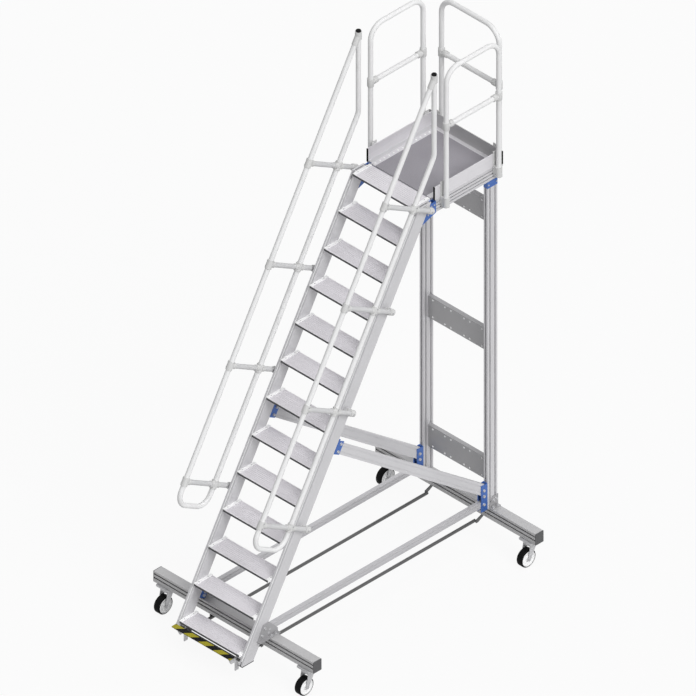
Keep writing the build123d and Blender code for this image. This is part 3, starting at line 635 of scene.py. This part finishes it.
class STAIRS_OT_finishes(bpy.types.Operator):
    """Give every CAD node its finish"""

    bl_idname = "stairs.finishes"
    bl_label = "Finishes"

    def execute(self, context):
        tint = context.scene.stairs_colours
        rest = math.pi / 2 - PITCH
        low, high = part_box("braces")
        slope = math.atan2(high[2] - low[2], high[1] - low[1])
        made = {
            "board across": drawn_metal("board across", tint.board, GRAIN_X),
            "board along": drawn_metal("board along", tint.board, GRAIN_Y),
            "beam": drawn_metal("beam", tint.beam, GRAIN_X, roughness=0.46),
            "profile along": drawn_metal("profile along", tint.profile, GRAIN_Y),
            "rail": drawn_metal("rail", tint.rail, GRAIN_Y),
            "profile sloping": drawn_metal("profile sloping", tint.profile, GRAIN_Y, slope),
            "profile upright": drawn_metal("profile upright", tint.profile, GRAIN_Z),
            "profile inclined": drawn_metal("profile inclined", tint.profile, GRAIN_Z, rest),
            "tread": tread_metal("tread", tint.tread),
            "end strip": coated_metal("end strip", tint.strip, 0.45),
            "tube": coated_metal("tube", tint.tube, 0.4, 0.00006, shine=TUBE_SHINE),
            "strut": coated_metal("strut", tint.strut, 0.4, 0.00006, shine=TUBE_SHINE),
            "fitting": coated_metal("fitting", tint.fitting, 0.46, 0.0003, shine=TUBE_SHINE),
            "plate": drawn_metal("plate", tint.plate, (1.5, 90.0, 90.0), roughness=0.5),
            "bracket": drawn_metal("bracket", tint.bracket, (60.0, 60.0, 60.0), roughness=0.48),
            "blue bracket": coated_metal("blue bracket", tint.blue, 0.34, 0.0002, 0.3),
            "deck": studded_plate("deck", tint.deck),
            "warning": warning_stripes("warning", tint.warning_light, tint.warning_dark),
            "rod": drawn_metal("rod", tint.rod, (90.0, 1.5, 90.0), metallic=0.5),
            "zinc": zinc_metal("zinc", tint.zinc),
            "disc": moulded("disc", tint.disc, 0.22, 200.0, 0.4),
            "rubber": moulded("rubber", tint.rubber, 0.62, 350.0, shine=DULL_SHINE),
            "beam cap": moulded("beam cap", tint.cap, 0.5, 260.0),
            # Painted shade: the dark strips on the treads' front edges
            "nosing": moulded("nosing", tint.nosing, 0.6, 300.0, shine=DULL_SHINE),
        }
        finish_of = {
            # Painted light and shade: the rear toe board takes the darker beam tone, the side toe boards the
            # paler board tone
            "beam": ("front_beam", "rear_beam", "toe_board_rear"),
            "board across": ("deck_frame",),
            "board along": ("toe_boards_side",),
            "profile along": ("side_beam_left", "side_beam_right"),
            "rail": ("base_rails",),
            "profile sloping": ("braces",),
            "profile upright": ("post_left", "post_right"),
            "profile inclined": ("stringer_left", "stringer_right"),
            # Painted light: the near-white end strip tone on the tread ends
            "tread": ("steps",),
            "end strip": ("step_end_caps",),
            "tube": ("guard_left", "guard_right", "guard_rear", "handrail_left", "handrail_right"),
            "strut": ("struts",),
            "fitting": (
                "guard_clamps", "handrail_tees", "knee_rail_crosses", "strut_feet", "top_fittings",
            ),
            "plate": ("cross_plates",),
            "bracket": ("base_gussets",),
            "blue bracket": ("post_heads", "post_shoes", "flight_shoes", "joint_brackets"),
            "deck": ("deck",),
            "warning": ("brake_pedal",),
            "rod": ("brake_rods", "brake_shaft", "brake_hangers"),
            "rubber": ("black_caps",),
            "beam cap": ("profile_caps",),
        }
        finish_of["zinc"] = ("brake_levers",)
        for corner in CORNERS:
            for piece in ("caster_plate", "caster_fork", "caster_axle"):
                finish_of["zinc"] = (*finish_of["zinc"], f"{piece}_{corner}")
            finish_of["disc"] = (*finish_of.get("disc", ()), f"wheel_{corner}")
            finish_of["rubber"] = (*finish_of["rubber"], f"tyre_{corner}")
        for finish, nodes in finish_of.items():
            for node in nodes:
                mesh = NODES[node].data
                mesh.materials.clear()
                mesh.materials.append(made[finish])
        left = [node for node, piece in NODES.items() if piece.data.materials[0] not in made.values()]
        if left:
            raise RuntimeError(f"no finish for {left}")
        return {"FINISHED"}


class STAIRS_OT_plate_rivets(bpy.types.Operator):
    """Rivet the cross plates along their edges and the strips beside the deck"""

    bl_idname = "stairs.plate_rivets"
    bl_label = "Plate rivets"

    PLATE_H = 0.186
    PLATE_ROWS = 3
    EDGE = 0.020
    STATIONS = (-0.252, -0.132, -0.072, 0.060, 0.117, 0.240)
    DECK_PITCH = 0.045
    DECK_COUNT = 13

    def execute(self, context):
        low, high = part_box("cross_plates")
        rise = (high[2] - low[2] - self.PLATE_H) / (self.PLATE_ROWS - 1)
        master = dome_rivet("rivet", context.scene.stairs_sizes.rivet_radius)
        places = []
        for row in range(self.PLATE_ROWS):
            for edge in (self.EDGE, self.PLATE_H - self.EDGE):
                z = low[2] + row * rise + edge
                places += [put((x, low[1], z), (0, -1, 0)) for x in self.STATIONS]
        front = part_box("deck")[0][1] + self.DECK_PITCH / 2
        x = (INNER_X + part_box("deck")[1][0]) / 2
        for row in range(self.DECK_COUNT):
            places += [put((side * x, front + row * self.DECK_PITCH, DECK_Z), (0, 0, 1)) for side in SIDES]
        rivets = spread(master, "plate_rivets", places)
        drop_master(master)
        fit(rivets, "frame", "end strip")
        return {"FINISHED"}


class STAIRS_OT_frame_bolts(bpy.types.Operator):
    """Bolt the shoes of the braces and the angle brackets of the base"""

    bl_idname = "stairs.frame_bolts"
    bl_label = "Frame bolts"

    POST_SHOE_Z = (0.375, 0.445, 0.495)
    SHOE_REACH = 0.036
    FLIGHT_SHOES = ((1.6368, 0.030), (0.2223, 0.014))
    WEB_N = 0.105
    WEB_Z = (0.352, 0.402)
    FLANGE_X = 0.021
    FRONT_FLANGE_Y = (0.020, 0.060)
    REAR_FLANGE_Y = (0.020, 0.062)
    POST_WEB = ((0.018, 0.060), (0.046, 0.060))

    def shoe_places(self, side):
        places = []
        for z in self.POST_SHOE_Z:
            places += through(Vector((0, POST_FRONT_Y - self.SHOE_REACH, z)), side)
        for station, half in self.FLIGHT_SHOES:
            for s in (station - half, station + half):
                places += through(flight_point(0, STRINGER_REAR_N + self.SHOE_REACH, s), side)
        return places

    def bracket_places(self, side):
        web_x = side * (OUTER_X + GUSSET_WALL)
        flange = side * (OUTER_X + self.FLANGE_X)
        flange_y = [BEAM_FRONT_Y + y for y in self.FRONT_FLANGE_Y]
        flange_y += [POST_REAR_Y - y for y in self.REAR_FLANGE_Y]
        places = [put((flange, y, BEAM_TOP + GUSSET_WALL), (0, 0, 1)) for y in flange_y]
        places += [put(flight_level(web_x, self.WEB_N, z), (side, 0, 0)) for z in self.WEB_Z]
        for setback, rise in self.POST_WEB:
            places.append(put((web_x, POST_REAR_Y - setback, BEAM_TOP + rise), (side, 0, 0)))
        return places

    def execute(self, context):
        master = hex_bolt("bolt", context.scene.stairs_sizes.bolt_radius)
        places = [place for side in SIDES for place in self.shoe_places(side) + self.bracket_places(side)]
        bolts = spread(master, "frame_bolts", places)
        drop_master(master)
        fit(bolts, "frame", "zinc")
        return {"FINISHED"}


class STAIRS_OT_fitting_screws(bpy.types.Operator):
    """Screw the tube fittings, clamps, joint brackets and post heads"""

    bl_idname = "stairs.fitting_screws"
    bl_label = "Fitting screws"

    SLEEVE_HALF = 0.020
    CLAMP_HALF = 0.022
    CLAMP_REACH = 0.030
    CLAMP_DROPS = (0.005, 0.055)
    JOINT_Z = (3.155, 3.212)
    JOINT_EDGE = 0.018
    HEAD_EDGE = 0.010
    HEAD_Z = 3.1115

    def tube_places(self, side):
        places = []
        x = side * (RAIL_X + SLEEVE_R)
        for s in STRUT_STATIONS:
            for n in (HANDRAIL_N, KNEE_RAIL_N):
                for end in (-self.SLEEVE_HALF, self.SLEEVE_HALF):
                    places.append(put(flight_point(x, n, s + end), (side, 0, 0)))
            places.append(put(flight_point(x, STRUT_FOOT_N, s), (side, 0, 0)))
        return places

    def clamp_places(self, side):
        places = []
        low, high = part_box("guard_right")
        for y in (low[1] + TUBE_R, high[1] - TUBE_R):
            for way in SIDES:
                for drop in self.CLAMP_DROPS:
                    spot = (side * (RAIL_X - self.CLAMP_REACH), y + way * self.CLAMP_HALF, DECK_Z - drop)
                    places.append(put(spot, (0, way, 0)))
        low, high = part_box("guard_rear")
        for way in SIDES:
            for drop in self.CLAMP_DROPS:
                x = side * (high[0] - TUBE_R) + way * self.CLAMP_HALF
                spot = (x, high[1] - TUBE_R - self.CLAMP_REACH, DECK_Z - drop)
                places.append(put(spot, (way, 0, 0)))
        return places

    def plate_places(self, side):
        places = []
        for z in self.JOINT_Z:
            places += through(flight_level(0, STRINGER_REAR_N + self.JOINT_EDGE, z), side)
            places += through(Vector((0, JOINT_REAR_Y - self.JOINT_EDGE, z)), side)
        for y in (POST_FRONT_Y + self.HEAD_EDGE, POST_REAR_Y - self.HEAD_EDGE):
            places.append(put((side * OUTER_X, y, self.HEAD_Z), (side, 0, 0)))
        return places

    def execute(self, context):
        master = socket_screw("screw", context.scene.stairs_sizes.screw_radius)
        places = []
        for side in SIDES:
            places += self.tube_places(side) + self.clamp_places(side) + self.plate_places(side)
        screws = spread(master, "fitting_screws", places)
        drop_master(master)
        fit(screws, "frame", "zinc")
        return {"FINISHED"}


class STAIRS_OT_nosing_shade_strips(bpy.types.Operator):
    """Press a dark ribbed strip with a tongue into the slot of every tread's front edge, as painted shade
    along the nosings
    """

    bl_idname = "stairs.nosing_inserts"
    bl_label = "Nosing shade strips"

    HEIGHT = 0.015
    DEPTH = 0.002
    TONGUE = 0.0024
    TONGUE_HEIGHT = 0.0056
    DROP = 0.009
    RIB = 0.0012

    # The dark strips paint the shade line along each tread's front edge
    def execute(self, context):
        length = 2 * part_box("steps")[1][0]
        master = square_bar("nosing shade strip", (length, self.DEPTH, self.HEIGHT))
        pick(master, "FACE", lambda mesh, face: face.normal.y > 0.9)
        bpy.ops.mesh.inset(thickness=(self.HEIGHT - self.TONGUE_HEIGHT) / 2)
        bpy.ops.mesh.extrude_region_move(TRANSFORM_OT_translate={"value": (0, self.TONGUE, 0)})
        bpy.ops.object.mode_set(mode="OBJECT")
        raise_front(master, self.RIB, self.RIB / 2)
        bpy.ops.mesh.inset(thickness=self.RIB)
        bpy.ops.transform.translate(value=(0, -self.RIB / 2, 0))
        bpy.ops.object.mode_set(mode="OBJECT")
        places = []
        for row in range(STEP_COUNT):
            front = NOSE_Y + row * RUN - self.DEPTH / 2
            places.append(Matrix.Translation((0, front, RISE * (row + 1) - self.DROP)))
        shade_strip_copies = spread(master, "nosing_inserts", places)
        drop_master(master)
        fit(shade_strip_copies, "frame", "nosing")
        return {"FINISHED"}


class STAIRS_OT_slot_covers(bpy.types.Operator):
    """Snap pale covers into the front slots of the stringers"""

    bl_idname = "stairs.slot_covers"
    bl_label = "Slot covers"

    WIDTH = 0.0086
    DEPTH = 0.003
    RIB = 0.0012
    FOOT_Z = 0.200
    HEAD_DROP = 0.060

    def execute(self, context):
        n = STRINGER_FRONT_N + self.DEPTH / 2 + self.RIB
        foot = flight_level(0, n, self.FOOT_Z)
        head = flight_level(0, n, DECK_Z - self.HEAD_DROP)
        master = square_bar("slot cover", (self.WIDTH, self.DEPTH, (head - foot).length))
        raise_front(master, self.RIB, -self.RIB / 2)
        bpy.ops.object.mode_set(mode="OBJECT")
        turn = Matrix.Rotation(PITCH - math.pi / 2, 4, "X")
        x = Vector(((INNER_X + OUTER_X) / 2, 0, 0))
        places = [Matrix.Translation((foot + head) / 2 + side * x) @ turn for side in SIDES]
        covers = spread(master, "slot_covers", places)
        drop_master(master)
        fit(covers, "frame", "end strip")
        return {"FINISHED"}


class STAIRS_OT_tread_screws(bpy.types.Operator):
    """Screw the pale strips down to the ends of every tread"""

    bl_idname = "stairs.tread_screws"
    bl_label = "Tread screws"

    EDGE = 0.014
    STRIP_TOP = 0.004
    SETBACKS = (0.040, 0.130)

    def execute(self, context):
        master = dome_rivet("tread screw", context.scene.stairs_sizes.tread_screw_radius)
        places = []
        for row in range(STEP_COUNT):
            z = RISE * (row + 1) + self.STRIP_TOP
            for setback in self.SETBACKS:
                y = NOSE_Y + row * RUN + setback
                places += [put((side * (INNER_X - self.EDGE), y, z), (0, 0, 1)) for side in SIDES]
        screws = spread(master, "tread_screws", places)
        drop_master(master)
        fit(screws, "frame", "zinc")
        return {"FINISHED"}


class STAIRS_OT_guard_tees(bpy.types.Operator):
    """Sleeve the guards' legs and the ends of their knee rails where they meet"""

    bl_idname = "stairs.guard_tees"
    bl_label = "Guard tees"

    KNEE_RISE = 0.625
    LEG_LENGTH = 0.066
    RAIL_LENGTH = 0.036
    ROUNDING = 0.002

    def make(self, name, length):
        piece = sleeve(name, 40, SLEEVE_R, TUBE_R + RIM_GAP, length)
        for z in (0, length):
            bevel_rim(piece, z, SLEEVE_R, self.ROUNDING, 2)
        smooth(piece, 40)
        return piece

    def execute(self, context):
        z = DECK_Z + self.KNEE_RISE
        ends = []
        low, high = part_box("guard_right")
        for side in SIDES:
            for y, way in ((low[1] + TUBE_R, 1), (high[1] - TUBE_R, -1)):
                ends.append((Vector((side * RAIL_X, y, z)), Vector((0, way, 0))))
        low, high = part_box("guard_rear")
        for x, way in ((low[0] + TUBE_R, 1), (high[0] - TUBE_R, -1)):
            ends.append((Vector((x, high[1] - TUBE_R, z)), Vector((way, 0, 0))))
        legs = [Matrix.Translation(spot - Vector((0, 0, self.LEG_LENGTH / 2))) for spot, way in ends]
        rails = [put(spot + way * SLEEVE_R, way) for spot, way in ends]
        for name, length, places in (("leg", self.LEG_LENGTH, legs), ("rail", self.RAIL_LENGTH, rails)):
            master = self.make(name, length)
            sleeves = spread(master, f"guard_{name}_sleeves", places)
            drop_master(master)
            fit(sleeves, "frame", "fitting")
        return {"FINISHED"}


class STAIRS_OT_caster_bolts(bpy.types.Operator):
    """Bolt the caster plates to the beams from below"""

    bl_idname = "stairs.caster_bolts"
    bl_label = "Caster bolts"

    OFFSETS = ((-0.046, -0.041), (-0.046, 0.041), (0.046, -0.041), (0.046, 0.041))
    PLATE = 0.012

    def execute(self, context):
        master = hex_bolt("caster bolt", context.scene.stairs_sizes.caster_bolt_radius)
        places = []
        for corner in CORNERS:
            low, high = (Vector(end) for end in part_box(f"caster_plate_{corner}"))
            middle = (low + high) / 2
            for x, y in self.OFFSETS:
                places.append(put((middle.x + x, middle.y + y, high.z - self.PLATE), (0, 0, -1)))
        bolts = spread(master, "caster_bolts", places)
        drop_master(master)
        fit(bolts, "frame", "zinc")
        return {"FINISHED"}


class STAIRS_OT_swivel_rings(bpy.types.Operator):
    """Turn the stepped dust rings round the swivel heads"""

    bl_idname = "stairs.swivel_rings"
    bl_label = "Swivel rings"

    RADIUS = 0.039
    LENGTH = 0.011
    STEP = 0.0018

    def execute(self, context):
        corners = context.scene.stairs_sizes.turned_corners
        master = round_bar("swivel ring", corners, self.RADIUS, self.LENGTH)
        bevel_rim(master, self.LENGTH, self.RADIUS, self.STEP, 2)
        sink_ring(master, self.LENGTH, self.STEP, -self.STEP)
        sink_ring(master, self.LENGTH - self.STEP, self.STEP, self.STEP)
        smooth(master, 35)
        for corner in CORNERS:
            plate_low, plate_high = (Vector(end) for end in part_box(f"caster_plate_{corner}"))
            middle = (plate_low + plate_high) / 2
            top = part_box(f"caster_fork_{corner}")[1][2]
            place = put((middle.x, middle.y, top), (0, 0, -1))
            ring = spread(master, f"swivel_ring_{corner}", [place])
            fit(ring, f"swivel_{corner}", "zinc")
        drop_master(master)
        return {"FINISHED"}


class STAIRS_OT_tyres(bpy.types.Operator):
    """Turn round-shouldered tyres in place of the plain bands"""

    bl_idname = "stairs.tyres"
    bl_label = "Tyres"

    def rim_radius(self, corner):
        low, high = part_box(f"wheel_{corner}")
        return (high[2] - low[2]) / 2 - RIM_GAP

    def execute(self, context):
        sizes = context.scene.stairs_sizes
        for corner in CORNERS:
            low, high = (Vector(end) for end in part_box(f"tyre_{corner}"))
            radius = (high.z - low.z) / 2
            width = high.x - low.x
            bore = self.rim_radius(corner)
            tyre = sleeve(f"tyre_{corner}_round", sizes.turned_corners, radius, bore, width)
            for z in (0, width):
                bevel_rim(tyre, z, radius, sizes.tyre_shoulder, 4)
            smooth(tyre, 40)
            place = Matrix.Translation((low.x, (low.y + high.y) / 2, (low.z + high.z) / 2))
            tyre.data.transform(place @ facing((1, 0, 0)))
            fit(tyre, f"roller_{corner}", "rubber")
            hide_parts(f"tyre_{corner}")
        return {"FINISHED"}


class STAIRS_OT_wheel_discs(bpy.types.Operator):
    """Dish the covers that fill the wheel centres"""

    bl_idname = "stairs.wheel_discs"
    bl_label = "Wheel discs"

    RIM = 0.0065
    THICK = 0.004
    LIP = 0.0035
    EDGE = 0.0009
    DISH = 0.0026
    BOSS = 0.004
    HUB = 0.0225
    INSET = 0.0015

    def execute(self, context):
        low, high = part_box(f"wheel_{CORNERS[0]}")
        radius = (high[2] - low[2]) / 2 - self.RIM
        low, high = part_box(f"tyre_{CORNERS[0]}")
        offset = (high[0] - low[0]) / 2 - self.THICK - self.INSET
        master = round_bar("disc", context.scene.stairs_sizes.turned_corners, radius, self.THICK)
        web = self.THICK - self.DISH
        bevel_rim(master, self.THICK, radius, self.EDGE, 2)
        sink_ring(master, self.THICK, self.LIP, 0)
        sink_ring(master, self.THICK, self.LIP, -self.DISH)
        sink_ring(master, web, radius - self.EDGE - self.HUB - 4 * self.LIP, 0)
        sink_ring(master, web, self.LIP, self.BOSS)
        sink_ring(master, web + self.BOSS, self.LIP, 0)
        sink_ring(master, 0, radius - self.HUB, 0)
        pick(master, "FACE", on_axis)
        bpy.ops.mesh.bridge_edge_loops()
        bpy.ops.object.mode_set(mode="OBJECT")
        smooth(master, 35)
        for corner in CORNERS:
            low, high = (Vector(end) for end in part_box(f"wheel_{corner}"))
            centre = (low + high) / 2
            places = [put(centre + Vector((side * offset, 0, 0)), (side, 0, 0)) for side in SIDES]
            discs = spread(master, f"wheel_discs_{corner}", places)
            fit(discs, f"roller_{corner}", "disc")
        drop_master(master)
        return {"FINISHED"}


class STAIRS_OT_stage(bpy.types.Operator):
    """Lay the floor and set the lights and the camera"""

    bl_idname = "stairs.stage"
    bl_label = "Stage"

    def execute(self, context):
        self.lay_floor()
        self.light_sky(context)
        self.hang_lamps(context)
        self.aim_camera(context)
        return {"FINISHED"}

    def lay_floor(self):
        clear_selection()
        bpy.ops.mesh.primitive_plane_add(size=FLOOR_SIZE)
        floor = bpy.context.object
        floor.name = "floor"
        bpy.ops.object.mode_set(mode="EDIT")
        bpy.ops.mesh.subdivide(number_cuts=3)
        bpy.ops.object.mode_set(mode="OBJECT")
        paint = Finish("floor")
        cloud = paint.noise((0.6, 0.6, 0.6), 2.0)
        tone = paint.blend(cloud, (FLOOR_TONE,) * 3, scaled((FLOOR_TONE,) * 3, 1.04))
        paint.surface({"Base Color": tone, "Roughness": 0.9})
        rays = paint.tree.nodes.new("ShaderNodeLightPath")
        seen = Value(paint, rays.outputs["Is Camera Ray"])
        seen += Value(paint, rays.outputs["Is Glossy Ray"])
        seen += Value(paint, rays.outputs["Is Transmission Ray"])
        glow = paint.node("ShaderNodeEmission", None, {"Color": (1, 1, 1, 1), "Strength": 1.0})
        share = seen * FLOOR_GLOW
        plain = Value(paint, paint.shader.outputs[0])
        mixed = paint.node("ShaderNodeMixShader", None, {0: share, 1: plain, 2: glow})
        output = next(n for n in paint.tree.nodes if n.type == "OUTPUT_MATERIAL")
        paint.tree.links.new(mixed.socket, output.inputs["Surface"])
        floor.data.materials.append(paint.material)

    def light_sky(self, context):
        world = bpy.data.worlds.new("studio")
        context.scene.world = world
        world.use_nodes = True
        tree = world.node_tree
        sky = tree.nodes["Background"]
        sky.inputs["Color"].default_value = SKY_TINT
        rays = tree.nodes.new("ShaderNodeLightPath")
        level = tree.nodes.new("ShaderNodeMapRange")
        level.inputs["To Min"].default_value = SKY_LIGHT
        level.inputs["To Max"].default_value = 1.0
        seen = rays.outputs["Is Camera Ray"]
        for name in ("Is Glossy Ray", "Is Transmission Ray"):
            total = tree.nodes.new("ShaderNodeMath")
            tree.links.new(seen, total.inputs[0])
            tree.links.new(rays.outputs[name], total.inputs[1])
            seen = total.outputs[0]
        tree.links.new(seen, level.inputs["Value"])
        tree.links.new(level.outputs[0], sky.inputs["Strength"])

    def hang_lamps(self, context):
        table = (
            ("key lamp", (0.76, -0.12, 0.64), 2.2, 35),
            ("top lamp", (0.10, -0.10, 0.99), 0.6, 40),
            ("fill lamp", (-0.60, 0.50, 0.50), 0.2, 40),
        )
        for name, back, strength, spread_angle in table:
            lamp = bpy.data.lights.new(name, "SUN")
            lamp.energy = strength
            lamp.angle = math.radians(spread_angle)
            holder = bpy.data.objects.new(name, lamp)
            holder.rotation_euler = Vector(back).to_track_quat("Z", "Y").to_euler()
            holder.location = Vector(back) * LAMP_DISTANCE
            context.scene.collection.objects.link(holder)

    def aim_camera(self, context):
        lens = bpy.data.cameras.new("view")
        lens.type = "ORTHO"
        lens.ortho_scale = VIEW_WIDTH
        lens.clip_end = 100
        holder = bpy.data.objects.new("view", lens)
        back = Vector((1, -1, 1)).normalized()
        holder.location = VIEW_TARGET + back * VIEW_DISTANCE
        holder.rotation_euler = (-back).to_track_quat("-Z", "Y").to_euler()
        context.scene.collection.objects.link(holder)
        context.scene.camera = holder
        context.scene.view_settings.view_transform = "Standard"


PIECES = (
    STAIRS_OT_finishes,
    STAIRS_OT_plate_rivets,
    STAIRS_OT_frame_bolts,
    STAIRS_OT_fitting_screws,
    STAIRS_OT_nosing_shade_strips,
    STAIRS_OT_slot_covers,
    STAIRS_OT_tread_screws,
    STAIRS_OT_guard_tees,
    STAIRS_OT_caster_bolts,
    STAIRS_OT_swivel_rings,
    STAIRS_OT_tyres,
    STAIRS_OT_wheel_discs,
    STAIRS_OT_stage,
)


class STAIRS_PT_panel(bpy.types.Panel):
    """Sizes, colours and pieces of the stairs"""

    bl_idname = "STAIRS_PT_panel"
    bl_label = "Mobile platform stairs"
    bl_space_type = "VIEW_3D"
    bl_region_type = "UI"
    bl_category = "Stairs"

    def draw(self, context):
        for settings in (context.scene.stairs_sizes, context.scene.stairs_colours):
            for name in settings.__annotations__:
                self.layout.prop(settings, name)
        for operator in PIECES:
            self.layout.operator(operator.bl_idname)


CLASSES = (StairsSizes, StairsColours, *PIECES, STAIRS_PT_panel)


def register():
    for cls in CLASSES:
        bpy.utils.register_class(cls)
    bpy.types.Scene.stairs_sizes = PointerProperty(type=StairsSizes)
    bpy.types.Scene.stairs_colours = PointerProperty(type=StairsColours)


def unregister():
    del bpy.types.Scene.stairs_colours
    del bpy.types.Scene.stairs_sizes
    for cls in reversed(CLASSES):
        bpy.utils.unregister_class(cls)


def main():
    register()
    bpy.ops.stairs.finishes()
    bpy.ops.stairs.plate_rivets()
    bpy.ops.stairs.frame_bolts()
    bpy.ops.stairs.fitting_screws()
    bpy.ops.stairs.nosing_inserts()
    bpy.ops.stairs.slot_covers()
    bpy.ops.stairs.tread_screws()
    bpy.ops.stairs.guard_tees()
    bpy.ops.stairs.caster_bolts()
    bpy.ops.stairs.swivel_rings()
    bpy.ops.stairs.tyres()
    bpy.ops.stairs.wheel_discs()
    bpy.ops.stairs.stage()


if __name__ == "__main__":
    main()
